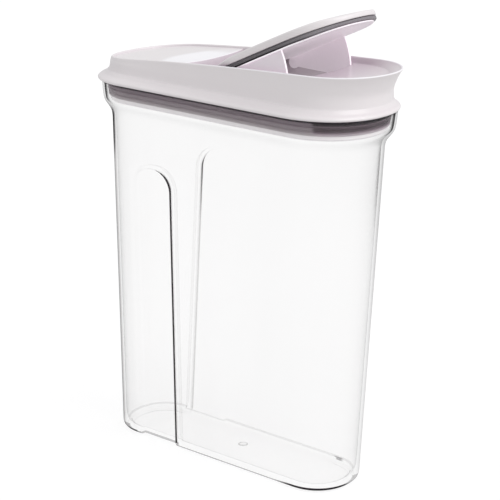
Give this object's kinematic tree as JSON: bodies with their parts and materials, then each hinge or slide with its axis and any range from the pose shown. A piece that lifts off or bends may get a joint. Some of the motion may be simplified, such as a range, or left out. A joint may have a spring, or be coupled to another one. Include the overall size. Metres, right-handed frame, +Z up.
{
  "type": "food canister",
  "caption": "Tall narrow clear food canister, tapered with grip channels, with a white plug lid, a perimeter seal and a rocking pouring flap.",
  "frame": {"origin": "centre of the footprint on the table, under the middle of the canister", "axes": "+X along the long side towards the pouring end, +Y across the narrow side to the left when pouring, +Z up"},
  "size_m": [0.2412, 0.102, 0.3494],
  "materials": {
    "clear_plastic": "polished, clear, very slightly grey at the edges",
    "white_gloss": "fine satin gloss, warm white",
    "white_satin": "satin white",
    "seal_grey": "soft translucent smoke-grey silicone",
    "pin_plastic": "smooth moulded plastic"
  },
  "bodies": {
    "canister": {"canister_body": "clear_plastic"},
    "lid": {"lid_shell": "white_gloss", "lid_frame": "white_satin", "lid_seal": "seal_grey", "hinge_pin_left": "pin_plastic", "hinge_pin_right": "pin_plastic"},
    "flap": {"flap_cover": "white_gloss", "flap_seal": "seal_grey", "flap_chute": "white_satin"}
  },
  "joints": [
    {"name": "lid_lift", "type": "slide", "parent": "canister", "child": "lid", "axis": [0, 0, 1], "range_m": [0, 0.06]},
    {"name": "flap_hinge", "type": "hinge", "parent": "lid", "child": "flap", "pos_m": [0.0148, 0, 0.296], "axis": [0, -1, 0], "range_deg": [-22.5, 0]}
  ]
}
